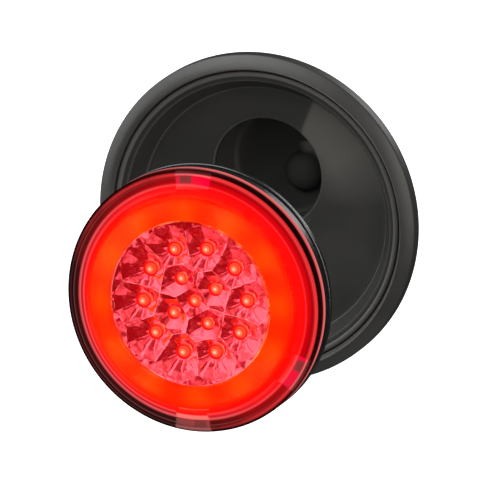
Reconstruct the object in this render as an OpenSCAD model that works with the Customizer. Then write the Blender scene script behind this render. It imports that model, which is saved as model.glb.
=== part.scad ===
// Round trailer tail light: a sealed glow-ring LED lamp, and the closed-back rubber
// grommet that holds it in a panel. Millimetres, +Z up. The light faces -Y.
// The origin is the centre of the panel hole, on the panel's front face.

/* [Grommet] */
// Outside diameter of the flange
flange_d = 136.5; // [134:0.5:140]
// Height of the flange in front of the panel
flange_h = 10; // [9:0.5:12]
// Diameter of the round panel hole that the grommet fits
panel_hole_d = 114.3; // [113.8:0.1:114.8]
// Width of the groove that takes the panel's edge
panel_groove_w = 3.2; // [2.2:0.2:4]
// Diameter of the mouth that the lamp goes through
mouth_d = 114.2; // [113:0.2:116]
// Diameter of the bowl where its wall meets the floor
floor_d = 105.2; // [104:0.2:106]
// Thickness of the rubber
rubber_t = 2.6; // [2:0.1:3]
// Inside diameter of the plug pocket
pocket_d = 46; // [44:0.5:47]
// Height of the pocket's centre above the lamp's axis
pocket_up = 16; // [14:0.5:18]
// Depth of the pocket's floor behind the panel face
pocket_depth = 31; // [28:1:36]
// Diameter of the wire outlet
wire_hole_d = 7.2; // [6:0.2:8]

/* [Lamp] */
// Outside diameter of the lamp's flange and lens
lamp_d = 108; // [107:0.5:109]
// Thickness of the lamp's flange
lamp_flange_t = 2.2; // [1.8:0.1:2.4]
// Height of the lens face above the back of the flange
lens_top = 19.9; // [19.5:0.1:21]
// Radius of the centre window, inside the glowing ring
centre_r = 33.8; // [33.4:0.1:34.2]
// Thickness of the plastic lens
lens_t = 2; // [1.6:0.1:2.2]

/* [Lights] */
// Lamps in the outer circle of the centre window
outer_leds = 10; // [8:1:10]
// Radius of that circle
outer_led_r = 22.2; // [21.5:0.1:23]
// Radius of the inner square of four lamps
inner_led_r = 10.45; // [10:0.05:11]
// Diameter of one dome lamp
led_d = 5; // [4:0.1:5]
// Lamps that light the ring
ring_leds_n = 12; // [8:1:14]
// Radius of the circle of ring lamps
ring_led_r = 39.6; // [38.5:0.1:40.5]

/* [Connector] */
// Diameter of each contact pin
pin_d = 3.96; // [3:0.02:4]
// Free length of each contact pin
pin_len = 8.5; // [7:0.5:9]
// Width of the connector collar
collar_w = 32; // [31:0.5:33]
// Height of the connector collar
collar_h = 18; // [17.5:0.5:19]
// Height of the connector above the lamp's axis
collar_up = 9; // [8.5:0.1:9.5]

/* [Pulled-out position] */
// Distance of the lamp in front of its seat
pull = 64.9; // [0:0.1:90]
// Drop of the lamp below its seat, a fixed share of the pull
drop_per_pull = 0.26; // [0:0.0005:0.26]

/* [Hidden] */
$fn = 120;
eps = 0.01;

// Grommet heights are measured forwards from the panel's front face.
crest_r = flange_d / 2 - 4.85;
mouth_z = flange_h - 4.8;
floor_z = flange_h - 13.5;
floor_slope = 0.16;
groove_r = panel_hole_d / 2 - 0.15;
rear_lip_r = groove_r + 2.5;
wire_x = 8;
wire_up = 12;
wire_boss_r = 8.5;
wire_boss_h = 5;
wire_skin = 2;
wire_tail = 8;
wire_tail_r = 5.4;
bead_r = 1.3;

// Lamp heights are measured forwards from the back of its flange.
lamp_r = lamp_d / 2;
seat_gap = 0.5;
board_z = 2.4;
board_t = 1.6;
board_top = board_z + board_t;
shoulder_z = 7.8;
tongue_r = lamp_r - 2.7;
tongue_top = 11.8;
cavity_r = lamp_r - 4.4;
back_r = 24;
back_z = -7.3;
back_wall = 2;
back_edge_r = lamp_r - 3.6;
collar_z = -12.7;
socket_wall = 2;
socket_floor_z = collar_z + 0.5 + pin_len;
socket_floor_t = 1.8;
tray_wall = 0.9;
tray_in_r = centre_r + 0.3;
tray_out_r = 46.4;
reflector_z = 5.2;
reflector_top = 15.6;
led_clear_r = led_d / 2 + 0.7;
outer_phase = 5;
inner_phase = 32.5;
ring_phase = 4;
tab_angles = [90, -30, -90];
tab_width = 16.5;
screw_angles = [90, 210, 330];
screw_r = 29.5;
screw_hole_r = 1.15;
lead_pitch = 2.54;
lead_r = 0.3;
lead_hole_r = 0.45;
pin_neck_r = 1.3;
pin_collar_r = 2.4;
pin_tail_r = 0.8;
solder_r = 1.7;
solder_h = 1.2;
chip_size = [6, 5, 1.7];
diode_size = [4.5, 2.7, 2.1];
resistor_size = [1.6, 3.2, 0.6];
suppressor_size = [5.4, 3.6, 2.3];
can_r = 3.1;
can_h = 3.2;
ring_led_size = [3.5, 2.8, 1.8];

// Radii where the lens changes slope, from the glowing ring out to the rim
slope_r = 42.6;
knee_r = 43.8;
step_r = 47.4;
rim_r = 48.3;

// Light guide: outer edge of its face, foot of its slope, and its outside
guide_face_r = 41.9;
guide_foot_r = 44.7;
guide_out_r = 46.2;
guide_foot_z = 11.3;
tab_in_r = 45.4;
tab_out_r = tongue_r - 0.2;
tab_z = 11.5;
tab_t = 0.5;
tab_notch = 1;

// Pins: x and height above the lamp's axis
ground_at = [0, collar_up - 3.6];
stop_at = [-8.5, collar_up + 2.5];
tail_at = [8.5, collar_up + 2.5];

function polar(r, a) = [r * cos(a), r * sin(a)];
function circle_of(n, r, phase) = [for (i = [0:n - 1]) polar(r, phase + i * 360 / n)];
function arc(c, r, a0, a1, n = 8) = [for (i = [0:n]) c + polar(r, a0 + (a1 - a0) * i / n)];
inner_spots = concat([[0, 0]], circle_of(4, inner_led_r, inner_phase));
outer_spots = circle_of(outer_leds, outer_led_r, outer_phase);
led_spots = concat(inner_spots, outer_spots);
ring_spots = circle_of(ring_leds_n, ring_led_r, ring_phase);
screw_spots = [for (a = screw_angles) polar(screw_r, a)];
pin_spots = [ground_at, stop_at, tail_at];

// Turns a shape drawn facing +z so that it faces -Y, with its y upwards.
module facing() {
    rotate([90, 0, 0]) children();
}

module in_lamp() {
    translate([0, -seat_gap - pull, -drop_per_pull * pull]) facing() children();
}

module at_each(spots) {
    for (s = spots) translate([s.x, s.y, 0]) children();
}

module lathe(points) {
    rotate_extrude() polygon(points);
}

module disc(r, z0, z1) {
    translate([0, 0, z0]) cylinder(r = r, h = z1 - z0);
}

module sector(r0, r1, z0, z1, at, width) {
    rotate([0, 0, at - width / 2])
        rotate_extrude(angle = width)
            translate([r0, z0]) square([r1 - r0, z1 - z0]);
}

module stadium(w, h, z0, z1) {
    run = (w - h) / 2;
    translate([-run, collar_up, z0]) cylinder(d = h, h = z1 - z0);
    translate([run, collar_up, z0]) cylinder(d = h, h = z1 - z0);
    translate([-run, collar_up - h / 2, z0]) cube([2 * run, h, z1 - z0]);
}

// One block on the back of the board, centred at a spot
module rear_block(spot, size) {
    translate([spot.x - size.x / 2, spot.y - size.y / 2, board_z - size.z]) cube(size);
}

/* ---------- grommet ---------- */

function floor_at(r) = floor_z - (floor_d / 2 - r) * floor_slope;

module grommet_bowl() {
    rim = flange_d / 2;
    bead = [crest_r - bead_r - 2, mouth_z + 0.5];
    lathe(concat(
        [[0, floor_at(0)], [floor_d / 2, floor_z], [mouth_d / 2, mouth_z]],
        [[mouth_d / 2 + 0.35, mouth_z + 0.15]],
        arc(bead, bead_r, 190, 0),
        [[crest_r - 0.35, flange_h - 0.25], [crest_r + 0.25, flange_h]],
        arc([rim - 1.4, flange_h - 4.6], 1.4, 55, 0),
        arc([rim - 1.2, 1.2], 1.2, 0, -90),
        [[groove_r, 0], [groove_r, -panel_groove_w]],
        [[rear_lip_r - 0.4, -panel_groove_w]],
        arc([rear_lip_r - 0.5, -panel_groove_w - 1.2], 1, 60, -45, 6),
        [[floor_d / 2 + rubber_t, floor_z - rubber_t - 2.4]],
        [[0, floor_at(0) - rubber_t]]
    ));
}

module pocket_outside() {
    r = pocket_d / 2 + rubber_t;
    translate([0, pocket_up, 0])
        lathe(concat(
            [[0, -pocket_depth - rubber_t]],
            arc([r - 3.5, -pocket_depth - rubber_t + 3], 3, -90, 0),
            [[r, floor_z - 5], [0, floor_z - 5]]
        ));
}

module pocket_inside() {
    r = pocket_d / 2;
    translate([0, pocket_up, 0])
        lathe(concat(
            [[0, -pocket_depth]],
            arc([r - 3, -pocket_depth + 2.5], 2.5, -90, 0),
            [[r, floor_z - 4], [r, floor_z + 2], [0, floor_z + 2]]
        ));
}

// The dome's skin closes the wire outlet until the wires are pushed through it.
module wire_boss() {
    translate([wire_x, wire_up, -pocket_depth - rubber_t - wire_tail]) {
        cylinder(r1 = wire_tail_r, r2 = wire_tail_r + 1, h = wire_tail + rubber_t);
        translate([0, 0, wire_tail + rubber_t - eps])
            lathe(concat(
                [[0, 0]],
                [for (a = [0:6:90]) [wire_boss_r * cos(a), wire_boss_h * sin(a)]]
            ));
    }
}

module grommet() {
    color([0.07, 0.07, 0.07])
        facing() difference() {
            union() {
                difference() {
                    union() {
                        grommet_bowl();
                        pocket_outside();
                    }
                    pocket_inside();
                }
                wire_boss();
            }
            translate([wire_x, wire_up, -pocket_depth - rubber_t - wire_tail - 1])
                cylinder(d = wire_hole_d,
                         h = 1 + wire_tail + rubber_t + wire_boss_h - wire_skin);
        }
}

/* ---------- lamp shell ---------- */

module housing_shell() {
    lathe([
        [0, back_z], [back_r, back_z], [back_edge_r - 0.6, -2.8], [back_edge_r, -2],
        [back_edge_r, 0], [lamp_r - 0.2, 0], [lamp_r, 0.2],
        [lamp_r, lamp_flange_t - 0.3], [lamp_r - 0.3, lamp_flange_t],
        [lamp_r - 1.8, lamp_flange_t], [lamp_r - 1.8, lamp_flange_t + 1.2],
        [lamp_r - 0.6, lamp_flange_t + 1.2], [lamp_r - 0.6, shoulder_z],
        [tongue_r, shoulder_z], [tongue_r, tongue_top], [cavity_r, tongue_top],
        [cavity_r, board_z], [cavity_r - 1.6, board_z], [cavity_r - 1.6, -0.4],
        [back_r, back_z + back_wall], [0, back_z + back_wall]
    ]);
}

module potting_fill() {
    lathe([
        [0, back_z + back_wall], [back_r, back_z + back_wall],
        [cavity_r - 1.6, -0.4], [cavity_r - 1.6, board_z], [0, board_z]
    ]);
}

module standoffs() {
    at_each(screw_spots) disc(3, back_z + 1.2, board_z);
}

module collar_latch() {
    translate([-4, collar_up + collar_h / 2 - 1, collar_z + 1]) cube([8, 2.6, 3]);
}

module housing() {
    color([0.09, 0.09, 0.1])
        in_lamp() difference() {
            union() {
                housing_shell();
                intersection() {
                    standoffs();
                    lathe([[0, back_z], [back_r, back_z], [50, -2.8], [50, 9], [0, 9]]);
                }
                stadium(collar_w, collar_h, collar_z, socket_floor_z + socket_floor_t);
                collar_latch();
            }
            stadium(collar_w - 2 * socket_wall, collar_h - 2 * socket_wall,
                    collar_z - 1, socket_floor_z);
            at_each(pin_spots) disc(pin_neck_r + 0.05, socket_floor_z - 1, 0);
            at_each(screw_spots) disc(screw_hole_r, -1.8, board_z + 1);
            for (a = tab_angles)
                sector(cavity_r - 1, tongue_r + 1, tongue_top - tab_notch, tongue_top + 1,
                       a, tab_width + 1);
        }
}

module outer_lens() {
    color([0.8, 0.02, 0.03, 0.45])
        in_lamp() lathe([
            [0, lens_top - lens_t], [centre_r - 0.2, lens_top - lens_t],
            [slope_r, lens_top - lens_t - 1.9], [tray_out_r + 0.2, tongue_top + 0.8],
            [tongue_r + 0.3, tongue_top + 0.4],
            [tongue_r + 0.3, shoulder_z], [lamp_r, shoulder_z],
            [lamp_r, lens_top - 7.1], [lamp_r - 0.4, lens_top - 6.7],
            [lamp_r - 1.7, lens_top - 5.7], [rim_r, lens_top - 5.3],
            [step_r, lens_top - 4.9], [knee_r, lens_top - 2.2],
            [slope_r, lens_top - 1.7], [centre_r + 0.6, lens_top], [0, lens_top]
        ]);
}

module glow_ring() {
    color([1, 0.25, 0.15, 0.9])
        in_lamp() {
            lathe([
                [tray_in_r, 15.5], [guide_face_r, 13.9], [guide_foot_r, guide_foot_z],
                [guide_out_r, guide_foot_z], [guide_out_r, guide_foot_z + 1],
                [guide_face_r + 0.6, 15.6], [tray_in_r, 17.4]
            ]);
            for (a = tab_angles)
                sector(tab_in_r, tab_out_r, tab_z, tab_z + tab_t, a, tab_width);
        }
}

/* ---------- lights ---------- */

module ring_reflector() {
    color([0.93, 0.93, 0.9])
        in_lamp() difference() {
            lathe([
                [tray_in_r, board_top], [tray_out_r, board_top], [tray_out_r, 11.2],
                [tray_out_r - tray_wall, 11.2], [tray_out_r - tray_wall - 1.2, board_top + 1],
                [tray_in_r + tray_wall + 0.8, board_top + 1], [tray_in_r + tray_wall, 15.2],
                [tray_in_r, 15.2]
            ]);
            at_each(ring_spots)
                translate([-2.4, -2.4, board_top - 1]) cube([4.8, 4.8, 4]);
        }
}

module cup(top_r) {
    slope = (top_r - led_clear_r) / (reflector_top - reflector_z);
    disc(led_clear_r, reflector_z - 1, reflector_z + eps);
    translate([0, 0, reflector_z])
        cylinder(r1 = led_clear_r, r2 = top_r + slope,
                 h = reflector_top - reflector_z + 1);
}

module centre_reflector() {
    color([0.8, 0.72, 0.74])
        in_lamp() difference() {
            disc(centre_r - 0.3, reflector_z, reflector_top);
            at_each(inner_spots) cup(8);
            at_each(outer_spots) cup(10.5);
            at_each(screw_spots) disc(2.7, reflector_z - 1, reflector_z + 0.7);
        }
}

module dome_led() {
    r = led_d / 2;
    lathe(concat(
        [[0, board_top], [r + 0.4, board_top], [r + 0.4, board_top + 1]],
        arc([0, board_top + 5.5], r, 0, 90, 12)
    ));
}

module centre_leds() {
    color([1, 0.35, 0.2])
        in_lamp() at_each(led_spots) dome_led();
}

// The two leads of a lamp, or with a margin past both faces, the holes for them
module lead_pair(r, past = 0) {
    for (side = [-1, 1])
        translate([side * lead_pitch / 2, 0, 0]) disc(r, board_z - past, board_top + past);
}

module led_leads() {
    color([0.75, 0.75, 0.74])
        in_lamp() at_each(led_spots) lead_pair(lead_r);
}

module ring_leds() {
    color([0.95, 0.95, 0.92])
        in_lamp() at_each(ring_spots)
            translate([-ring_led_size.x / 2, -ring_led_size.y / 2, board_top])
                cube(ring_led_size);
}

module ring_led_windows() {
    color([1, 0.4, 0.2])
        in_lamp() at_each(ring_spots)
            disc(1.15, board_top + ring_led_size.z, board_top + ring_led_size.z + 0.2);
}

/* ---------- electronics ---------- */

module circuit_board() {
    color([0.1, 0.35, 0.2])
        in_lamp() difference() {
            disc(cavity_r - 0.3, board_z, board_top);
            at_each(screw_spots) disc(screw_hole_r + 0.15, board_z - 1, board_top + 1);
            at_each(pin_spots) disc(pin_tail_r + 0.15, board_z - 1, board_top + 1);
            at_each(led_spots) lead_pair(lead_hole_r, 1);
        }
}

module board_screws() {
    color([0.78, 0.79, 0.8])
        in_lamp() at_each(screw_spots) difference() {
            lathe([
                [0, -1.5], [screw_hole_r - 0.35, -1.5], [screw_hole_r - 0.05, -1.1],
                [screw_hole_r - 0.05, board_top], [2.3, board_top],
                [2.3, board_top + 0.9], [1.7, board_top + 1.4], [0, board_top + 1.4]
            ]);
            for (a = [0, 90])
                rotate([0, 0, a])
                    translate([-1.3, -0.25, board_top + 0.7]) cube([2.6, 0.5, 1]);
        }
}

module driver_shapes() {
    for (side = [-1, 1]) rear_block([18 * side, -14], chip_size);
}

module diode_shapes() {
    for (i = [-1:1]) rear_block([13 * i, 23.6], diode_size);
}

module resistor_shapes() {
    for (row = [0, 1], i = [0:3]) rear_block([6 * i - 9, -21 - 5 * row], resistor_size);
}

module capacitor_shapes() {
    for (side = [-1, 1])
        translate([32 * side, 2, 0]) disc(can_r, board_z - can_h, board_z);
}

module suppressor_shape() {
    rear_block([22, 14], suppressor_size);
}

module driver_chips() {
    color([0.12, 0.12, 0.13]) in_lamp() driver_shapes();
}

module rectifier_diodes() {
    color([0.15, 0.14, 0.14]) in_lamp() diode_shapes();
}

module chip_resistors() {
    color([0.2, 0.2, 0.22]) in_lamp() resistor_shapes();
}

module smoothing_capacitors() {
    color([0.7, 0.7, 0.72]) in_lamp() capacitor_shapes();
}

module surge_suppressor() {
    color([0.16, 0.15, 0.15]) in_lamp() suppressor_shape();
}

module pin_shape() {
    r = pin_d / 2;
    tip = socket_floor_z - pin_len;
    inside = socket_floor_z + socket_floor_t;
    lathe(concat(
        [[0, tip]], arc([r - 0.7, tip + 0.7], 0.7, -90, 0, 4),
        [[r, socket_floor_z], [pin_neck_r, socket_floor_z], [pin_neck_r, inside]],
        [[pin_collar_r, inside], [pin_collar_r, inside + 1], [pin_tail_r, inside + 1]],
        [[pin_tail_r, board_top], [0, board_top]]
    ));
}

module solder_cone() {
    translate([0, 0, board_z - solder_h])
        cylinder(r1 = solder_r - 0.5, r2 = solder_r, h = solder_h);
}

module solder_shape() {
    difference() {
        solder_cone();
        disc(pin_tail_r, board_z - 3, board_z + 1);
    }
}

module ground_pin() {
    color([0.85, 0.75, 0.4]) in_lamp() at_each([ground_at]) pin_shape();
}

module stop_turn_pin() {
    color([0.85, 0.75, 0.4]) in_lamp() at_each([stop_at]) pin_shape();
}

module tail_pin() {
    color([0.85, 0.75, 0.4]) in_lamp() at_each([tail_at]) pin_shape();
}

module pin_solder() {
    color([0.8, 0.8, 0.82])
        in_lamp() at_each(pin_spots) solder_shape();
}

// The resin fills the space behind the board, round everything that stands in it.
module potting_compound() {
    color([0.05, 0.05, 0.06])
        in_lamp() difference() {
            potting_fill();
            standoffs();
            stadium(collar_w, collar_h, collar_z, socket_floor_z + socket_floor_t);
            driver_shapes();
            diode_shapes();
            resistor_shapes();
            capacitor_shapes();
            suppressor_shape();
            at_each(pin_spots) {
                pin_shape();
                solder_cone();
            }
        }
}

grommet();
housing();
outer_lens();
glow_ring();
ring_reflector();
centre_reflector();
centre_leds();
led_leads();
ring_leds();
ring_led_windows();
circuit_board();
board_screws();
driver_chips();
rectifier_diodes();
chip_resistors();
smoothing_capacitors();
surge_suppressor();
potting_compound();
ground_pin();
stop_turn_pin();
tail_pin();
pin_solder();
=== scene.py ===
"""Looks of the round trailer tail light: a red glow-ring lamp in front of its black rubber grommet.

Lengths inside this script are millimetres until a vertex is made; MM turns them into metres.
A round piece is drawn in its own axes: x to the right, y up, z forwards, towards the viewer.
A profile is a list of (distance from the axis, z). Colours are linear red, green and blue.
"""

from math import cos, hypot, pi, radians, sin, sqrt, tan

import bmesh
import bpy
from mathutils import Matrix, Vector


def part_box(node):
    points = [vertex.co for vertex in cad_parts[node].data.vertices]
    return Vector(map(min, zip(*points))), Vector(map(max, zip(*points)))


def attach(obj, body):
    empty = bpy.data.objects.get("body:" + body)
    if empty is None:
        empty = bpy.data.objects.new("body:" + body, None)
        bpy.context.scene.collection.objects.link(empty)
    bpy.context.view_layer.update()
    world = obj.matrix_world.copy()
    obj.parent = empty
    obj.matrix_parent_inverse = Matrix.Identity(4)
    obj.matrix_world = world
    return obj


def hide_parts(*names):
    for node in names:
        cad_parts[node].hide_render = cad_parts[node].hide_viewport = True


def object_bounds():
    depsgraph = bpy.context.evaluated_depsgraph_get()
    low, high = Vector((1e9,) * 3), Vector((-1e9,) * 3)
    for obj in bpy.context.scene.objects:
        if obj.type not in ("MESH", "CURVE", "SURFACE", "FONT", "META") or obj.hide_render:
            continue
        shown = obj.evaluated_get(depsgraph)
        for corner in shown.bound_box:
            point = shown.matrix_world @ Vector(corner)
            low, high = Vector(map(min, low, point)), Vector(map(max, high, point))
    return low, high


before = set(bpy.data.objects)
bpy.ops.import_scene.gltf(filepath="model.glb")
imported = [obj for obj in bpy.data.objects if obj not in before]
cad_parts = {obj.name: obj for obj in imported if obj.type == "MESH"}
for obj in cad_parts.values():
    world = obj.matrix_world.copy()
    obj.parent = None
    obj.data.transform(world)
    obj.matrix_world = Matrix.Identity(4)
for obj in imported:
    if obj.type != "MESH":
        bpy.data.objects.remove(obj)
cad_low, cad_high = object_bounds()

MM = 0.001
LENS_TOP = 19.9  # lens face above the back of the lamp's flange
lens_low, lens_high = (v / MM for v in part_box("outer_lens"))
LAMP = Vector((0, lens_low.y + LENS_TOP, (lens_low.z + lens_high.z) / 2))
DISH = Vector((0, 0, 0))


# ---------------------------------------------------------------- mesh tools

NEARLY_STRAIGHT = radians(176)  # a corner that is flatter than this stays as it is


def place(p, base):
    """A point in a round piece's own axes, as metres in the frame."""
    return Vector((p[0] + base.x, base.y - p[2], p[1] + base.z)) * MM


def polar(r, deg):
    return r * cos(radians(deg)), r * sin(radians(deg))


def arc(cx, cz, r, a0, a1, n):
    """Points of a profile along an arc, from angle a0 to angle a1."""
    points = []
    for i in range(n + 1):
        x, z = polar(r, a0 + (a1 - a0) * i / n)
        points.append((cx + x, cz + z))
    return points


def rounded(points, radius, closed=True, steps=4):
    """The profile with each of its corners turned into a small arc."""
    out = []
    n = len(points)
    for i, (x, z) in enumerate(points):
        if (not closed and i in (0, n - 1)) or x < 0.01:
            out.append((x, z))
            continue
        p = Vector((x, z))
        a, b = Vector(points[i - 1]) - p, Vector(points[(i + 1) % n]) - p
        turn = a.angle(b, pi)
        if turn > NEARLY_STRAIGHT:
            out.append((x, z))
            continue
        # the arc takes less than half of each side, so that neighbouring corners don't meet
        cut_back = min(radius / tan(turn / 2), 0.4 * a.length, 0.4 * b.length)
        p0, p1 = p + a.normalized() * cut_back, p + b.normalized() * cut_back
        for k in range(steps + 1):
            t = k / steps
            q = p0 * (1 - t) ** 2 + p * 2 * t * (1 - t) + p1 * t ** 2
            out.append((q.x, q.y))
    return out


def ring(r, z, n, cx=0.0, cy=0.0):
    """One ring of a loft. z is a height, or a function of the point's distance from the axis."""
    points = []
    for i in range(n):
        a = 2 * pi * i / n
        x, y = cx + r * cos(a), cy + r * sin(a)
        points.append((x, y, z(hypot(x, y)) if callable(z) else z))
    return points


class Build:
    """Collects faces of one piece. Each vertex can carry a number, which materials read as shade."""

    def __init__(self, base):
        self.bm, self.base = bmesh.new(), base
        self.tag = self.bm.verts.layers.float.new("shade")

    def vert(self, p, tag=0.0):
        v = self.bm.verts.new(place(p, self.base))
        v[self.tag] = tag
        return v

    def loft(self, rings, tags=None, loop=False):
        """Joins rings to a skin. A ring without a radius becomes one vertex."""
        rows = []
        for k, points in enumerate(rings):
            tag = tags[k] if tags else 0.0
            if hypot(points[0][0] - points[1][0], points[0][1] - points[1][1]) < 1e-6:
                rows.append([self.vert(points[0], tag)])
            else:
                rows.append([self.vert(p, tag) for p in points])
        pairs = list(zip(rows, rows[1:])) + ([(rows[-1], rows[0])] if loop else [])
        for a, b in pairs:
            n = max(len(a), len(b))
            for i in range(n):
                j = (i + 1) % n
                quad = [a[i % len(a)], a[j % len(a)], b[j % len(b)], b[i % len(b)]]
                corners = list(dict.fromkeys(quad))
                if len(corners) > 2:
                    self.bm.faces.new(corners)

    def lathe(self, profile, n, loop=True, tags=None, at=(0, 0)):
        self.loft([ring(max(r, 0), z, n, *at) for r, z in profile], tags, loop)

    def sector(self, profile, mid, width, n=12):
        """A closed profile swept through part of a turn, with its two ends closed."""
        rows = []
        for i in range(n + 1):
            a = mid - width / 2 + width * i / n
            rows.append([self.vert((*polar(r, a), z)) for r, z in profile])
        for a, b in zip(rows, rows[1:]):
            for i in range(len(profile)):
                j = (i + 1) % len(profile)
                self.bm.faces.new((a[i], a[j], b[j], b[i]))
        self.bm.faces.new(rows[0])
        self.bm.faces.new(rows[-1][::-1])

    def finish(self, name, body, slot, mat, nodes, sharp, outward=True):
        """Makes the object. Edges that turn by more than the angle sharp are creases."""
        if outward:
            bmesh.ops.recalc_face_normals(self.bm, faces=self.bm.faces)
        mesh = bpy.data.meshes.new(name)
        self.bm.to_mesh(mesh)
        self.bm.free()
        for p in mesh.polygons:
            p.use_smooth = True
        mesh.set_sharp_from_angle(angle=radians(sharp))
        mesh.materials.append(mat)
        obj = bpy.data.objects.new(name, mesh)
        bpy.context.scene.collection.objects.link(obj)
        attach(obj, body)
        if nodes:
            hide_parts(*nodes)
        return obj


# ---------------------------------------------------------------- node tools


class Nodes:
    """A node tree with helpers. A value is a number, a colour or another node's output."""

    def __init__(self, tree):
        self.tree = tree

    def add(self, kind):
        return self.tree.nodes.new("ShaderNode" + kind)

    def give(self, socket, value):
        """Links the socket to an output, or sets it."""
        if isinstance(value, bpy.types.NodeSocket):
            self.tree.links.new(value, socket)
        elif socket.type == "RGBA":
            socket.default_value = (*value, 1)
        else:
            socket.default_value = value

    def math(self, op, *values, clamp=False):
        node = self.add("Math")
        node.operation, node.use_clamp = op, clamp
        for socket, value in zip(node.inputs, values):
            self.give(socket, value)
        return node.outputs[0]

    def noise(self, scale, detail, rough=0.55, at=None):
        node = self.add("TexNoise")
        values = {"Scale": scale, "Detail": detail, "Roughness": rough, "Vector": at or self.at}
        for name, value in values.items():
            self.give(node.inputs[name], value)
        return node.outputs["Fac"]

    def span(self, value, a0, a1, b0=0, b1=1):
        """The value's stretch from a0 to a1, as b0 to b1."""
        node = self.add("MapRange")
        values = {"Value": value, "From Min": a0, "From Max": a1, "To Min": b0, "To Max": b1}
        for name, v in values.items():
            self.give(node.inputs[name], v)
        return node.outputs["Result"]

    def ramp(self, value, low, high, stops):
        """Numbers or colours along the value. The stops are in its own unit, between low and high."""
        node = self.add("ValToRGB")
        elements = node.color_ramp.elements
        while len(elements) < len(stops):
            elements.new(0.5)
        for e, (at, col) in zip(elements, stops):
            e.position = (at - low) / (high - low)
            e.color = (*col, 1) if isinstance(col, tuple) else (col, col, col, 1)
        self.give(node.inputs["Fac"], self.span(value, low, high))
        return node.outputs["Color"]

    def mix(self, share, a, b):
        """Colour a, turning into colour b as the share goes from 0 to 1."""
        node = self.add("Mix")
        node.data_type = "RGBA"
        for key, v in ((0, share), (6, a), (7, b)):
            self.give(node.inputs[key], v)
        return node.outputs[2]

    def mask(self, *limits):
        """The product of soft limits: a value, where it counts as outside, and where as inside."""
        product = 1.0
        for value, out, full in limits:
            product = self.math("MULTIPLY", self.span(value, out, full), product)
        return product

    def background(self, color, strength):
        node = self.add("Background")
        self.give(node.inputs["Color"], color)
        self.give(node.inputs["Strength"], strength)
        return node.outputs[0]

    def choose(self, share, a, b):
        """Background a, turning into background b as the share goes from 0 to 1."""
        node = self.add("MixShader")
        for socket, value in zip(node.inputs, (share, a, b)):
            self.give(socket, value)
        return node.outputs[0]


class Mat(Nodes):
    """A Principled material."""

    def __init__(self, name, color, rough, **sockets):
        self.m = bpy.data.materials.new(name)
        self.m.use_nodes = True
        super().__init__(self.m.node_tree)
        self.bsdf = self.tree.nodes["Principled BSDF"]
        self.coord = self.add("TexCoord").outputs
        self.at = self.coord["Object"]
        self.put(Base_Color=color, Roughness=rough, **sockets)

    def put(self, **sockets):
        """Sets or links the shader's sockets. An underscore stands for a space."""
        for name, value in sockets.items():
            self.give(self.bsdf.inputs[name.replace("_", " ")], value)

    def bump(self, height, strength, distance=0.2 * MM):
        node = self.add("Bump")
        for name, value in (("Strength", strength), ("Distance", distance), ("Height", height)):
            self.give(node.inputs[name], value)
        self.put(Normal=node.outputs["Normal"])

    def split(self, output):
        node = self.add("SeparateXYZ")
        self.give(node.inputs[0], self.coord[output])
        return node.outputs

    def backwards(self):
        """-1 where the surface faces the viewer's side, 0 on a wall along the axis, 1 on a back."""
        return self.split("Normal")[1]

    def around(self, cx, cz):
        """Distance from the line through (cx, cz) along Y, in millimetres, and the angle round it."""
        x, _, z = self.split("Object")
        x, z = self.math("SUBTRACT", x, cx * MM), self.math("SUBTRACT", z, cz * MM)
        square = self.math("ADD", self.math("MULTIPLY", x, x), self.math("MULTIPLY", z, z))
        return self.math("MULTIPLY", self.math("SQRT", square), 1 / MM), self.math("ARCTAN2", z, x)

    def shade(self):
        """The number that the mesh's vertices carry."""
        node = self.add("Attribute")
        node.attribute_name = "shade"
        return node.outputs["Fac"]


def plain(name, color, rough, spread, scale, bump, **sockets):
    """A moulded or stamped material: its colour and roughness vary a little, with a fine grain."""
    m = Mat(name, color, rough, **sockets)
    slow = m.noise(scale / 12, 4)
    lo = tuple(c * (1 - spread) for c in color)
    hi = tuple(min(1, c * (1 + spread)) for c in color)
    m.put(Base_Color=m.ramp(slow, 0, 1, [(0.3, lo), (0.7, hi)]))
    m.put(Roughness=m.span(slow, 0.3, 0.7, rough * 0.88, min(1, rough * 1.12)))
    m.bump(m.noise(scale, 2), bump)
    return m.m


# ---------------------------------------------------------------- camera

AZIMUTH, ELEVATION = radians(20.2), radians(14.5)
TOWARD = Vector((sin(AZIMUTH) * cos(ELEVATION), -cos(AZIMUTH) * cos(ELEVATION), sin(ELEVATION)))
PX_PER_MM, FRAME_PX, DISTANCE = 2.463, 485, 3500
AIM_RIGHT, AIM_UP = -4.22, -8.93  # from a point just in front of the dish's middle


def camera():
    right = Vector((cos(AZIMUTH), sin(AZIMUTH), 0))
    up = right.cross(-TOWARD)
    aim = Vector((0, -10, 0)) + right * AIM_RIGHT + up * AIM_UP
    cam = bpy.data.cameras.new("camera")
    cam.sensor_width = 36
    cam.lens = cam.sensor_width * DISTANCE * PX_PER_MM / FRAME_PX
    cam.clip_start, cam.clip_end = 0.1, 200
    obj = bpy.data.objects.new("camera", cam)
    obj.location = (aim + TOWARD * DISTANCE) * MM
    obj.rotation_euler = TOWARD.to_track_quat("Z", "Y").to_euler()
    bpy.context.scene.collection.objects.link(obj)
    bpy.context.scene.camera = obj


camera()


# ---------------------------------------------------------------- stage and light

GLOSS_FILL, DIFFUSE_FILL = 0.03, 0.8  # how bright the studio is to mirrored and to scattered light
LIGHTS_CENTRE = Vector((0, -0.04, -0.01))  # metres
FLOOR_DROP = 0.08  # metres below the object


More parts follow.
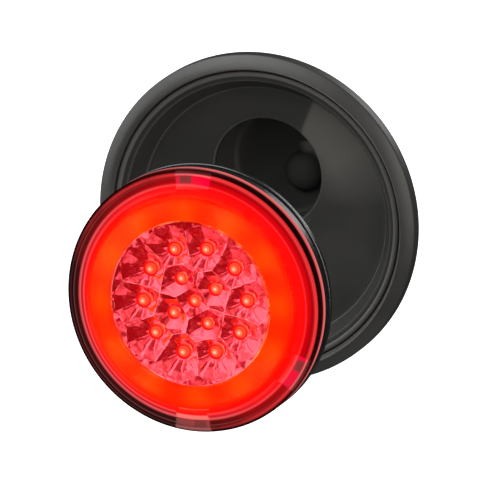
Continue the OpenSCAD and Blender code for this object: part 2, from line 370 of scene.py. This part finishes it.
def area_light(name, direction, distance, size, power, color=(1, 1, 1)):
    """A softbox that looks at the object. Direction is from the object, distance and size in metres."""
    light = bpy.data.lights.new(name, "AREA")
    light.shape, light.size, light.size_y = "RECTANGLE", size[0], size[1]
    light.energy, light.color = power, color
    obj = bpy.data.objects.new(name, light)
    d = Vector(direction).normalized()
    obj.location = d * distance + LIGHTS_CENTRE
    obj.rotation_euler = d.to_track_quat("Z", "Y").to_euler()
    obj.visible_camera = False
    bpy.context.scene.collection.objects.link(obj)
    return obj


def mirrored_studio(w, direction):
    """What the parts behind the lens mirror: bright above and to the left, dark below and to the right."""
    split = w.add("SeparateXYZ")
    w.give(split.inputs[0], direction)
    across, _, height = split.outputs
    cloud = w.noise(4.2, 3.0, 0.5, at=direction)
    level = w.math("MULTIPLY_ADD", height, 0.55, 0.0)
    level = w.math("MULTIPLY_ADD", across, -0.45, level)
    level = w.math("MULTIPLY_ADD", cloud, 5.0, level)
    level = w.span(level, 1.97, 3.15, 0.04, 1.88)
    level = w.math("MULTIPLY", level, level)
    # nothing stands where the flat window of the lens would mirror it to the front
    towards_hole = w.add("VectorMath")
    towards_hole.operation = "DOT_PRODUCT"
    w.give(towards_hole.inputs[0], direction)
    w.give(towards_hole.inputs[1], (-TOWARD.x, TOWARD.y, -TOWARD.z))
    hole = w.span(towards_hole.outputs["Value"], 0.982, 0.996, 1.0, 0.1)
    return w.background((1, 1, 1), w.math("MULTIPLY", level, hole))


def studio_world():
    world = bpy.data.worlds.new("studio")
    world.use_nodes = True
    world.node_tree.nodes.clear()
    w = Nodes(world.node_tree)
    rays = w.add("LightPath").outputs
    direction = w.add("TexCoord").outputs["Generated"]
    fill = w.background((1, 0.99, 0.97), w.span(rays["Is Diffuse Ray"], 0, 1, GLOSS_FILL, DIFFUSE_FILL))
    around = w.choose(rays["Is Transmission Ray"], fill, mirrored_studio(w, direction))
    seen = w.choose(rays["Is Camera Ray"], around, w.background((1, 1, 1), 1.0))
    w.give(w.add("OutputWorld").inputs[0], seen)
    bpy.context.scene.world = world


def pale_floor():
    """A floor that the camera sees, and that neither lights the object nor shows in its gloss."""
    bm = bmesh.new()
    bmesh.ops.create_grid(bm, x_segments=8, y_segments=8, size=20)
    mesh = bpy.data.meshes.new("floor")
    bm.to_mesh(mesh)
    bm.free()
    pale = Mat("pale_floor", (0.9, 0.9, 0.9), 0.9, Emission_Color=(1, 1, 1), Emission_Strength=1.0)
    mesh.materials.append(pale.m)
    floor = bpy.data.objects.new("floor", mesh)
    floor.location = (0, 0, cad_low.z - FLOOR_DROP)
    floor.visible_glossy = floor.visible_diffuse = floor.visible_transmission = False
    bpy.context.scene.collection.objects.link(floor)


def softboxes(grommet, housing):
    """Lights that reach only the black pieces, and in which only the grommet throws a shadow."""
    lit = bpy.data.collections.new("lit_by_softboxes")
    for piece in (grommet, housing):
        lit.objects.link(piece)
    casting = bpy.data.collections.new("shades_from_softboxes")
    casting.objects.link(grommet)
    for box in (
        area_light("top_softbox", (-0.4, -0.4, 0.85), 0.9, (0.9, 0.7), 10),
        area_light("left_softbox", (-0.98, -0.1, 0.2), 1.0, (0.5, 0.7), 3.5),
        area_light("right_softbox", (0.8, -0.5, 0.2), 1.0, (0.3, 0.9), 5.4, (1, 0.95, 0.9)),
        area_light("back_softbox", (0.4, 0.85, 0.5), 1.2, (0.6, 0.6), 4),
        area_light("under_softbox", (0.3, -0.25, -0.9), 0.9, (0.8, 0.6), 0.8),
        area_light("low_softbox", (-0.535, -0.73, -0.46), 1.1, (0.26, 0.26), 0.3, (1, 0.97, 0.93)),
    ):
        box.light_linking.receiver_collection = lit
        box.light_linking.blocker_collection = casting


# ---------------------------------------------------------------- grommet

SEGMENTS = 224  # round the dish
RUBBER = 2.6  # thickness of the rubber
FLOOR_R, FLOOR_Z, FLOOR_SLOPE = 52.6, -3.5, 0.16  # the floor falls towards the middle
MOUTH_R, MOUTH_Z = 57.1, 5.2
CREST_Z = 10.0
POCKET, POCKET_R, POCKET_Z = (0, 16.0), 23.0, -31.0
WIRE = (8.0, 12.0)  # the axis of the dome and of the wire outlet behind it
DOME_R, DOME_H, DOME_FOOT_R = 8.5, 5.0, 8.95
WIRE_R, WIRE_END, WIRE_TOP = 3.6, -41.6, -28.0


def floor_height(lift=0.0):
    return lambda r: FLOOR_Z - (FLOOR_R - r) * FLOOR_SLOPE + lift


def back_height(r):
    """The back of the floor, which is thicker towards the rim."""
    return FLOOR_Z - (FLOOR_R - r) * FLOOR_SLOPE - RUBBER - 2.4 * r / (FLOOR_R + RUBBER)


def rings_at(points, centre=(0, 0)):
    return [ring(r, z, SEGMENTS, *centre) for r, z in points]


def between(a, b, n, z):
    """Rings from circle a to circle b, each (centre x, centre y, radius), without b itself."""
    rings = []
    for i in range(n):
        cx, cy, r = (a[k] + (b[k] - a[k]) * i / n for k in range(3))
        rings.append(ring(r, z, SEGMENTS, cx, cy))
    return rings


def grommet_build():
    """One closed skin, from the top of the dome outwards, round the rim and back to the wire hole."""
    dome = [(DOME_R * cos(radians(a)), POCKET_Z + DOME_H * sin(radians(a))) for a in range(84, 5, -6)]
    dome = [(0, POCKET_Z + DOME_H), *dome, (DOME_R + 0.1, POCKET_Z + 0.25), (DOME_FOOT_R, POCKET_Z)]
    rings = rings_at(dome, WIRE)
    rings += between((*WIRE, DOME_FOOT_R), (*POCKET, POCKET_R - 2.6), 8, POCKET_Z)[1:]
    # the pocket's wall and its rounded rim in the sloping floor
    rings += rings_at(arc(POCKET_R - 2.5, POCKET_Z + 2.5, 2.5, -90, 0, 6), POCKET)
    rounding = [(POCKET_R + 0.62 - step, floor_height(-step)) for step in (0.6, 0.3, 0.12, 0.03)]
    rings += rings_at(rounding, POCKET)
    rings += between((*POCKET, POCKET_R + 0.7), (0, 0, FLOOR_R - 0.3), 14, floor_height())
    # the corner of the floor, the tapered wall and the mouth
    rim = [(-0.3, -0.05), (-0.08, 0.03), (0.12, 0.26)]
    rim = [(FLOOR_R + dr, FLOOR_Z + dz) for dr, dz in rim]
    for t in (0.25, 0.5, 0.75):
        rim.append((FLOOR_R + (MOUTH_R - FLOOR_R) * t, FLOOR_Z + (MOUTH_Z - FLOOR_Z) * t))
    rim += [(MOUTH_R - 0.1, MOUTH_Z - 0.2), (MOUTH_R, MOUTH_Z), (MOUTH_R + 0.35, MOUTH_Z + 0.15)]
    # the bead
    rim += arc(60.1, 5.7, 1.3, 190, 0, 20)
    # the inner bevel and the crest
    rim += [(61.9, 7.0), (62.6, 8.7), (63.02, 9.7), (63.2, 9.93), (63.42, CREST_Z), (63.68, 9.97)]
    # the outer bevel and the flange's edge
    rim += arc(66.85, 5.4, 1.4, 55, 0, 8) + arc(67.05, 1.2, 1.2, 0, -90, 8)
    # the flange's back, the groove for the panel and the lip behind it
    rim += [(62, 0), (57.3, 0), (57.0, -0.2), (57.0, -3.0), (57.2, -3.2), (58.9, -3.2)]
    rim += arc(59.1, -4.4, 1.0, 60, -45, 8)
    rim += [(57.6, -6.8), (55.6, -8.3), (55.0, -8.6)]
    rings += rings_at(rim)
    # the back of the floor and of the pocket
    back_r = POCKET_R + RUBBER
    rings += between((0, 0, 50.0), (*POCKET, back_r + 0.8), 10, back_height)
    rings += rings_at(arc(back_r + 0.8, -9.6, 0.8, 90, 180, 5)[1:], POCKET)
    rings += rings_at(arc(back_r - 3, POCKET_Z + 0.4, 3, 0, -90, 8), POCKET)
    rings += between((*POCKET, back_r - 3.2), (*WIRE, 7.2), 8, POCKET_Z - RUBBER)
    # the spout of the wire outlet, and its hole, which ends under the dome's skin
    spout = [(6.9, -33.65), (6.5, -33.9), (6.4, -34.2), (5.45, -41.2)]
    spout += [(5.2, WIRE_END), (4.0, WIRE_END), (3.7, WIRE_END + 0.2)]
    spout += [(WIRE_R, WIRE_END + 6), (WIRE_R, WIRE_TOP - 0.4), (WIRE_R - 0.4, WIRE_TOP), (0, WIRE_TOP)]
    rings += rings_at(spout, WIRE)
    build = Build(DISH)
    build.loft(rings)
    return build


def black_rubber():
    rubber = Mat("black_rubber_satin", (0.017, 0.017, 0.016), 0.36)
    cloud = rubber.noise(38, 5, 0.6)
    base = rubber.ramp(cloud, 0, 1, [(0.3, (0.0155, 0.0155, 0.0145)), (0.7, (0.0215, 0.021, 0.02))])
    radius, turned = rubber.around(*DISH.xz)
    front = rubber.math("LESS_THAN", rubber.backwards(), 0.0)
    # painted highlight: the bead and the inner bevel are painted paler than the rest; the crease between them
    # stays dark
    painted_sheen = rubber.ramp(radius, 58, 65, [
        (58.56, 0.0), (59.4, 1.0), (60.94, 1.0), (61.29, 0.1), (61.71, 0.1), (62.06, 0.75), (63.25, 0.75),
        (63.6, 0.0),
    ])
    # painted highlights also on the corners of the bowl, in thin lines
    corner, _ = rubber.around(*POCKET)
    for value, at in ((radius, FLOOR_R), (radius, MOUTH_R), (corner, POCKET_R + 0.5)):
        line = rubber.mask((value, at - 0.32, at - 0.12), (value, at + 0.32, at + 0.12))
        painted_sheen = rubber.math("MAXIMUM", painted_sheen, rubber.math("MULTIPLY", line, 0.55))
    base = rubber.mix(painted_sheen, base, (0.062, 0.061, 0.058))
    # a painted highlight on the inner bevel, most at the top right
    bevel = rubber.mask(
        (radius, 61.8, 62.2), (radius, 63.6, 63.2), (front, 0, 1),
        (turned, radians(5), radians(40)), (turned, radians(140), radians(105)),
    )
    base = rubber.mix(bevel, base, (0.125, 0.12, 0.11))
    # a painted highlight: a paler fan on the right of the bowl's floor, with a crisp upper edge
    fan = rubber.mask(
        (radius, 20, 36), (radius, 57.5, 56.5), (front, 0, 1),
        (turned, radians(8), radians(36)), (turned, radians(67.5), radians(65.5)),
    )
    base = rubber.mix(fan, base, (0.062, 0.06, 0.055))
    # and a smaller painted highlight in the pocket, beside the dome
    deep = rubber.span(rubber.split("Object")[1], 9 * MM, 12 * MM)
    near_dome, around_dome = rubber.around(*WIRE)
    wedge = rubber.mask(
        (near_dome, 7.9, 8.3), (near_dome, 12.6, 12.2), (front, 0, 1), (deep, 0, 1),
        (around_dome, radians(5), radians(40)), (around_dome, radians(106), radians(88)),
    )
    base = rubber.mix(wedge, base, (0.11, 0.105, 0.098))
    # specks of dust, a satin that is duller in the pocket, and a fine grain
    dust = rubber.ramp(rubber.noise(1500, 1), 0, 1, [(0.0, 0.0), (0.76, 0.0), (0.8, 1.0)])
    rubber.put(Base_Color=rubber.mix(rubber.math("MULTIPLY", dust, 0.16), base, (0.3, 0.29, 0.28)))
    satin = rubber.span(cloud, 0.3, 0.7, 0.42, 0.52)
    rubber.put(Roughness=rubber.math("ADD", satin, rubber.math("MULTIPLY", deep, 0.25)))
    rubber.bump(rubber.noise(2600, 2), 0.06, 0.05 * MM)
    return rubber.m


grommet = grommet_build().finish("grommet_rubber", "grommet", "black_rubber", black_rubber(), ["grommet"], 40)


# ---------------------------------------------------------------- lens

TAB_ANGLES, TAB_WIDTH = (90, -30, -90), 16.5  # the three windows in the rim, over the tabs
WINDOW_R = 34.2  # the clear centre window ends here and the glowing part begins
RIM_R = (42, 54)
WALL_R = 53.65
WALL_Z = (7.8, 12.8)

# the rim's painted glow, highlights and reflections from the inside out: on its bright side, and on its dim
# side
GLOW = (0.55, 0.006, 0)
BRIGHT_SLOPE = [(42.2, GLOW), (43.2, (0.3, 0, 0)), (44.6, (0.35, 0, 0)), (45.8, (0.8, 0.003, 0.002))]
BRIGHT_RIM = BRIGHT_SLOPE + [
    (46.8, (0.8, 0.003, 0.002)), (47.4, (0.5, 0.002, 0.002)), (47.9, (0.5, 0.004, 0.006)),
    (48.1, (0.8, 0.02, 0.025)), (48.4, (0.8, 0.02, 0.025)), (48.6, (0.4, 0, 0.002)),
    (50.4, (0.42, 0, 0.003)), (50.8, (0.12, 0, 0)), (51.1, (0.4, 0.004, 0.008)), (51.6, (0.5, 0.006, 0.01)),
    (52.0, (0.75, 0.045, 0.045)), (52.7, (0.6, 0.02, 0.025)), (53.1, (0, 0, 0)),
]
DIM_RIM = [
    (42.2, GLOW), (43.2, (0.3, 0.003, 0)), (44.6, (0.4, 0.002, 0.001)), (45.3, (0.8, 0.003, 0.003)),
    (45.7, (0.72, 0.055, 0.055)), (46.3, (0.66, 0.045, 0.045)), (46.6, (0.4, 0.01, 0.02)),
    (47.5, (0.28, 0.01, 0.02)), (47.9, (0.6, 0.09, 0.09)), (48.5, (0.55, 0.07, 0.07)),
    (49.1, (0.025, 0.004, 0.004)), (50.6, (0.02, 0.004, 0.004)), (50.9, (0.14, 0.05, 0.045)),
    (51.2, (0.02, 0.004, 0.004)), (51.9, (0.01, 0.002, 0.002)), (52.2, (0.06, 0.014, 0.013)),
    (52.7, (0.02, 0.005, 0.005)), (53.2, (0, 0, 0)),
]
BRIGHT_TAB = BRIGHT_SLOPE + [
    (47.4, (0.7, 0.004, 0.003)), (47.8, (0.75, 0.05, 0.065)), (48.2, (0.75, 0.05, 0.065)),
    (48.6, (0.72, 0, 0.035)), (51.8, (0.72, 0, 0.03)), (52.1, (0.8, 0.12, 0.14)), (52.4, (0.8, 0.12, 0.14)),
    (52.8, (0.1, 0.015, 0.015)), (53.6, (0.06, 0.01, 0.01)),
]
DIM_TAB = [
    (42.2, GLOW), (43.2, (0.3, 0.003, 0)), (44.6, (0.32, 0.003, 0.001)), (45.6, (0.6, 0.006, 0.004)),
    (46.4, (0.6, 0.01, 0.01)), (46.7, (0.66, 0.16, 0.14)), (48.4, (0.62, 0.17, 0.15)),
    (48.8, (0.25, 0.02, 0.02)), (49.2, (0.15, 0.055, 0.05)), (51.2, (0.13, 0.052, 0.048)),
    (51.6, (0.08, 0.03, 0.028)), (52.0, (0.24, 0.085, 0.08)), (53.2, (0.22, 0.08, 0.075)),
    (53.6, (0.05, 0.01, 0.01)),
]
WINDOW_PATCH = [(48.5, 0.0), (48.7, 0.9), (51.7, 0.9), (51.9, 0.0)]
# and up the outer wall: a painted highlight on the lower edge, then black
BRIGHT_WALL = [
    (7.8, (0.82, 0.17, 0.16)), (9.55, (0.72, 0.12, 0.12)), (10.7, (0.5, 0.05, 0.05)), (11.0, (0, 0, 0)),
]
DIM_WALL = [
    (7.8, (0.14, 0.04, 0.035)), (9.3, (0.05, 0.01, 0.01)), (10.3, (0.006, 0, 0)), (12.8, (0.003, 0, 0)),
]


def lens_build():
    profile = [
        (0, LENS_TOP), (34.4, LENS_TOP), (42.6, 18.2), (43.8, 17.7), (47.4, 15.0), (48.3, 14.6), (52.3, 14.2),
        (53.6, 13.2), (54.0, 12.8), (54.0, 7.8), (51.6, 7.8), (51.6, 12.2), (46.6, 12.6), (43.2, 15.95),
        (33.6, 17.9), (0, 17.9),
    ]
    build = Build(LAMP)
    build.lathe(rounded(profile, 0.3, closed=False), 256, loop=False)
    return build


def painted_rim_light(lens, r, angle):
    """Painted light on the rim: a glow near its inner edge, then bands of painted highlight and reflection,
    more towards the top right, greyer towards the bottom left.
    """
    turn = lens.math("COSINE", lens.math("SUBTRACT", angle, radians(35)))
    side = lens.math("ADD", turn, lens.math("MULTIPLY", lens.noise(70, 4), 0.7))
    side = lens.span(side, -0.3, 1.0)

    def blend(value, limits, dim, bright):
        return lens.mix(side, lens.ramp(value, *limits, dim), lens.ramp(value, *limits, bright))

    def sectors(shift, half):
        """One within half an angle of each tab's middle, shifted; zero elsewhere."""
        inside = 0.0
        for a in TAB_ANGLES:
            near = lens.math("COSINE", lens.math("SUBTRACT", angle, radians(a + shift)))
            edge = lens.span(near, cos(radians(half + 0.25)), cos(radians(half - 0.25)))
            inside = lens.math("MAXIMUM", edge, inside)
        return inside

    window = blend(r, RIM_R, DIM_TAB, BRIGHT_TAB)
    # a darker grey-brown patch in the painted light of a part of each window, between two steps of the lens
    patch = lens.math("MULTIPLY", sectors(3.6, 2.9), lens.ramp(r, *RIM_R, WINDOW_PATCH))
    window = lens.mix(patch, window, (0.12, 0.035, 0.032))
    rim = lens.mix(sectors(0, TAB_WIDTH / 2), blend(r, RIM_R, DIM_RIM, BRIGHT_RIM), window)
    height = lens.math("SUBTRACT", lens.math("MULTIPLY", lens.split("Object")[1], -1 / MM), -LAMP.y)
    wall = blend(height, WALL_Z, DIM_WALL, BRIGHT_WALL)
    rim = lens.mix(lens.span(r, WALL_R - 0.1, WALL_R + 0.1), rim, wall)
    rim = lens.mix(lens.span(r, WINDOW_R, WINDOW_R + 0.6), (0, 0, 0), rim)
    # only the outside carries it: what faces forwards, and the outer wall
    outside = lens.math("LESS_THAN", lens.backwards(), lens.span(r, 52.8, 53, -0.2, 0.3))
    return lens.mix(outside, (0, 0, 0), rim)


def red_lens():
    lens = Mat("red_lens_clear", (0.9, 0.06, 0.07), 0.03, Transmission_Weight=1.0, IOR=1.49)
    lens.put(Emission_Strength=1.0)
    r, angle = lens.around(*LAMP.xz)
    # clear red over the centre and the glow ring, nearly black in the rim and its wall
    lens.put(Base_Color=lens.ramp(r, 30, 54, [
        (33.36, (0.93, 0.27, 0.31)), (34.32, (0.96, 0.24, 0.03)), (44.4, (0.95, 0.16, 0.04)),
        (45.84, (0.3, 0.015, 0.02)), (49.68, (0.12, 0.006, 0.008)), (52.8, (0.1, 0.005, 0.006)),
        (53.16, (0.004, 0.0, 0.0)),
    ]))
    lens.put(Roughness=lens.span(lens.noise(60, 3), 0.3, 0.7, 0.015, 0.05))
    lens.put(Emission_Color=painted_rim_light(lens, r, angle))
    return lens.m


lens_build().finish("lens_cap", "lamp", "red_lens", red_lens(), ["outer_lens"], 30)


# ---------------------------------------------------------------- glow ring and its tabs

GLOW_SPOTS, FIRST_SPOT = 12, 4  # the LEDs under the ring, and the angle of one of them


def glow_ring_build():
    profile = [
        (34.1, 15.5), (41.9, 13.9), (44.7, 11.3), (46.2, 11.3), (46.2, 12.3), (42.5, 15.6), (34.1, 17.4),
    ]
    build = Build(LAMP)
    build.lathe(rounded(profile, 0.25), 192)
    return build


def frosted_guide():
    """Red, with a soft orange spot over each LED."""
    glow = Mat("frosted_light_guide", (0.35, 0.02, 0.01), 0.55, Emission_Strength=1.0)
    r, angle = glow.around(*LAMP.xz)
    turn = glow.math("SUBTRACT", glow.math("MULTIPLY", angle, GLOW_SPOTS), radians(FIRST_SPOT * GLOW_SPOTS))
    spot = glow.math("POWER", glow.span(glow.math("COSINE", turn), -1, 1), 1.4)
    band = glow.ramp(r, 32, 48, [(33.6, 0.75), (39.2, 1.0), (41.92, 0.7), (44.48, 0.0)])
    heat = glow.math("MULTIPLY", spot, band)
    heat = glow.math("ADD", heat, glow.math("MULTIPLY", glow.noise(120, 2), 0.12), clamp=True)
    orange = glow.ramp(heat, 0, 1, [(0.0, (1.15, 0.05, 0.0)), (1.0, (1.25, 0.25, 0.0))])
    glow.put(Emission_Color=glow.mix(band, (1.12, 0.006, 0.0), orange))
    return glow.m


def tabs_build():
    profile = [(46.1, 11.75), (51.4, 11.95), (51.4, 12.1), (46.1, 12.1)]
    build = Build(LAMP)
    for angle in TAB_ANGLES:
        build.sector(profile, angle, TAB_WIDTH)
    return build


def clear_tab():
    return plain(
        "clear_guide_tab", (0.35, 0.02, 0.02), 0.4, 0.2, 400, 0.05,
        Emission_Color=(1, 0.02, 0.01), Emission_Strength=0.35, Specular_IOR_Level=0.0,
    )


glow_ring_build().finish("glow_ring_guide", "lamp", "light_guide", frosted_guide(), ["glow_ring"], 30)
tabs_build().finish("glow_ring_tabs", "lamp", "light_guide", clear_tab(), (), 30)


# ---------------------------------------------------------------- centre reflector

# a cup's profile; its two lowest rings are round, the others have sides
INNER_CUP = [(2.75, 5.2), (2.85, 11.8), (6.6, 14.1), (12.0, 15.2)]
OUTER_CUP = [(2.8, 5.2), (3.1, 11.0), (6.4, 13.3), (11.1, 15.6), (15.5, 17.8)]
ROUND_RINGS = 2
CUP_TOP, CUP_FOOT = 15.6, 5.2
REFLECTOR_R = 33.4  # the cups are cut off here, by a ring of planes
EDGE_PLANES = 48
LAND_R, STEP_R, EDGE_R, LAND_POINTS = 33.2, 33.55, 33.95, 240
SCALLOP_R = 10.9  # of the land's edge round each outer cup
# four LEDs in a square and ten in a circle, round the one in the middle
SQUARE_R, SQUARE_TURN = 10.45, 32.5
CIRCLE_R, CIRCLE_TURN, CIRCLE_STEP = 22.2, 5, 36
NEIGHBOUR = 24  # cups closer than this cut each other
BORDER = 0.28


def spots(r, sides, turns):
    """LED places at one distance from the axis: x, y, the sides of the cup and its turn."""
    return [(*polar(r, turn), sides, turn) for turn in turns]


SPOTS = [(0, 0, 6, 15)]
SPOTS += spots(SQUARE_R, 6, [SQUARE_TURN + 90 * i for i in range(4)])
SPOTS += spots(CIRCLE_R, 10, [CIRCLE_TURN + CIRCLE_STEP * i for i in range(10)])


def cut(bm, point, normal):
    """Cuts away what lies beyond a plane, which is given in the lamp's own axes."""
    geom = bm.verts[:] + bm.edges[:] + bm.faces[:]
    x, y, z = normal
    bmesh.ops.bisect_plane(
        bm, geom=geom, plane_co=place(point, LAMP), plane_no=(x, -z, y), clear_outer=True, dist=1e-7
    )


def cup_rings(x, y, sides, turn):
    rings = []
    for k, (r, z) in enumerate(INNER_CUP if sides == 6 else OUTER_CUP):
        points = []
        for i in range(4 * sides):
            off = radians((90 / sides * i) % (360 / sides) - 180 / sides)
            flat = 1 if k < ROUND_RINGS else (0.5 + 0.5 * cos(pi / sides)) / cos(off)
            px, py = polar(r * flat, turn + 90 / sides * i - 180 / sides)
            points.append((x + px, y + py, z))
        rings.append(points)
    return rings


def tag_highlight_outline(cup):
    """A narrow border along the cup's outline, tagged 1 on its outer side for a painted highlight, and a
    skirt below it.
    """
    bm = cup.bm
    bmesh.ops.inset_region(
        bm, faces=bm.faces[:], use_boundary=True, use_even_offset=True, thickness=BORDER * MM
    )
    # the boundary in front of this is the outline; the one behind it is the hole for the LED
    divide = (LAMP.y - CUP_FOOT - 0.8) * MM
    outline = [e for e in bm.edges if e.is_boundary and min(v.co.y for v in e.verts) < divide]
    for v in bm.verts:
        v[cup.tag] = 0.0
    for e in outline:
        for v in e.verts:
            v[cup.tag] = 1.0
    # the skirt, so that no gap shows where two cups end at different heights
    for drop in (0.06, 4):
        skirt = bmesh.ops.extrude_edge_only(bm, edges=outline)["geom"]
        low_verts = [v for v in skirt if isinstance(v, bmesh.types.BMVert)]
        for v in low_verts:
            v[cup.tag] = 0.0
        bmesh.ops.translate(bm, vec=(0, drop * MM, 0), verts=low_verts)
        outline = [e for e in skirt if isinstance(e, bmesh.types.BMEdge)]


def add_cup(whole, x, y, sides, turn):
    """Adds one cup, cut off halfway to its neighbours, at the reflector's edge and at its top."""
    cup = Build(LAMP)
    cup.loft(cup_rings(x, y, sides, turn))
    for ox, oy, _, _ in SPOTS:
        d = hypot(ox - x, oy - y)
        if 0 < d < NEIGHBOUR:
            cut(cup.bm, ((x + ox) / 2, (y + oy) / 2, 0), ((ox - x) / d, (oy - y) / d, 0))
    for i in range(EDGE_PLANES):
        nx, ny = polar(1, 360 * i / EDGE_PLANES)
        cut(cup.bm, (nx * REFLECTOR_R, ny * REFLECTOR_R, 0), (nx, ny, 0))
    cut(cup.bm, (0, 0, CUP_TOP), (0, 0, 1))
    tag_highlight_outline(cup)
    part = bpy.data.meshes.new("cup")
    cup.bm.to_mesh(part)
    cup.bm.free()
    whole.bm.from_mesh(part)
    bpy.data.meshes.remove(part)


def reflector_build():
    whole = Build(LAMP)
    for spot in SPOTS:
        add_cup(whole, *spot)
    # the flat land outside the cups' scallops, a step, the wall's edge and the wall's foot; the edge is
    # tagged for a painted highlight
    land, step, edge, foot = [], [], [], []
    for i in range(LAND_POINTS):
        deg = 360 * i / LAND_POINTS
        t = radians((deg - CIRCLE_TURN + CIRCLE_STEP / 2) % CIRCLE_STEP - CIRCLE_STEP / 2)
        scallop = CIRCLE_R * cos(t) + sqrt(max(0, SCALLOP_R ** 2 - (CIRCLE_R * sin(t)) ** 2))
        land.append((*polar(min(scallop, LAND_R), deg), CUP_TOP))
        step.append((*polar(STEP_R, deg), CUP_TOP + 0.4))
        edge.append((*polar(EDGE_R, deg), CUP_TOP + 0.5))
        foot.append((*polar(EDGE_R, deg), CUP_FOOT))
    whole.loft([land, step, edge, foot], [0, 0, 1, 0])
    return whole


def metal_film():
    """A mirror, slightly wavy, with a painted red glow; parts of the cups' borders carry painted highlights.
    """
    film = Mat("metal_film", (0.93, 0.86, 0.88), 0.1, Metallic=1.0, Emission_Strength=0.36)
    # painted highlights on the tagged borders, broken up by noise, over a painted red glow standing in for
    # the LEDs' light
    lit = film.math("MULTIPLY", film.shade(), film.span(film.noise(240, 2), 0.42, 0.56))
    film.put(Emission_Color=film.mix(lit, (1, 0.0, 0.02), (3.2, 2.4, 2.4)))
    film.put(Roughness=film.span(film.noise(300, 3), 0.3, 0.7, 0.02, 0.08))
    film.bump(film.noise(270, 1.0, 0.4), 0.4, 0.3 * MM)
    return film.m


reflector_build().finish(
    "reflector_cups", "lamp", "bright_metal_film", metal_film(), ["centre_reflector"], 16, False
)


# ---------------------------------------------------------------- dome LEDs


def leds_build():
    """Each dome's vertices carry their distance from its axis."""
    profile = [(0, 4.0), (2.9, 4.0), (2.9, 5.0), (2.5, 5.1), (2.5, 7.5)] + arc(0, 9.5, 2.5, 0, 90, 16)
    build = Build(LAMP)
    for x, y, _, _ in SPOTS:
        build.lathe(profile, 28, False, [r for r, _ in profile], (x, y))
    return build


def led_resin():
    """Lit resin: white in the middle, with rings of orange and red round it."""
    resin = Mat("lit_led_resin", (0.8, 0.1, 0.05), 0.12, Emission_Strength=1.0)
    resin.put(Emission_Color=resin.ramp(resin.shade(), 0, 3, [
        (0.0, (3.2, 2.9, 2.0)), (0.48, (2.8, 2.2, 1.2)), (0.78, (1.5, 0.6, 0.2)), (1.08, (1.7, 0.85, 0.35)),
        (1.44, (1.3, 0.35, 0.1)), (1.8, (0.85, 0.08, 0.02)), (2.1, (1.3, 0.5, 0.17)),
        (2.34, (0.8, 0.06, 0.02)), (2.49, (0.3, 0.005, 0.002)),
    ]))
    return resin.m


leds_build().finish("dome_leds", "lamp", "led_resin", led_resin(), ["centre_leds"], 40)


# ---------------------------------------------------------------- finishes of the CAD pieces


def metal(name, color, rough, spread, scale, bump):
    return plain(name, color, rough, spread, scale, bump, Metallic=1.0)


def brass(name):
    return metal(name, (0.86, 0.68, 0.34), 0.24, 0.1, 1600, 0.08)


FINISH = {
    "housing": plain("black_plastic_moulded", (0.008, 0.008, 0.009), 0.24, 0.15, 1500, 0.12),
    # the white tray's red glow is painted light, standing in for the ring LEDs' light on it
    "ring_reflector": plain(
        "white_plastic_tray", (0.85, 0.84, 0.8), 0.4, 0.05, 700, 0.08,
        Emission_Color=(1, 0.015, 0), Emission_Strength=0.8,
    ),
    "led_leads": metal("tinned_leads", (0.72, 0.72, 0.7), 0.25, 0.1, 2500, 0.1),
    "pin_solder": metal("solder", (0.68, 0.69, 0.7), 0.28, 0.15, 1800, 0.2),
    "ring_leds": plain("white_led_body", (0.85, 0.83, 0.78), 0.35, 0.06, 1500, 0.05),
    "ring_led_windows": plain("lit_led_window", (0.9, 0.3, 0.1), 0.3, 0.1, 1500, 0.05),
    "circuit_board": plain("board_mask", (0.03, 0.16, 0.07), 0.35, 0.25, 600, 0.15),
    "board_screws": metal("zinc_screws", (0.62, 0.63, 0.65), 0.32, 0.12, 2000, 0.15),
    "driver_chips": plain("chip_moulding", (0.02, 0.02, 0.022), 0.45, 0.2, 2500, 0.2),
    "rectifier_diodes": plain("diode_moulding", (0.024, 0.023, 0.023), 0.42, 0.2, 2500, 0.2),
    "chip_resistors": plain("resistor_glaze", (0.05, 0.05, 0.055), 0.3, 0.2, 2500, 0.1),
    "smoothing_capacitors": metal("drawn_can", (0.68, 0.68, 0.7), 0.3, 0.08, 1200, 0.1),
    "surge_suppressor": plain("suppressor_moulding", (0.026, 0.025, 0.025), 0.42, 0.2, 2500, 0.2),
    "potting_compound": plain("potting_resin", (0.012, 0.012, 0.014), 0.22, 0.2, 300, 0.1),
    "ground_pin": brass("brass_ground"),
    "stop_turn_pin": brass("brass_stop_turn"),
    "tail_pin": brass("brass_tail"),
}
for node, material in FINISH.items():
    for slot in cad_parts[node].material_slots:
        slot.material = material


# ---------------------------------------------------------------- the whole scene

bpy.context.scene.view_settings.view_transform = "Standard"
bpy.context.scene.cycles.use_denoising = True
studio_world()
pale_floor()
softboxes(grommet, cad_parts["housing"])
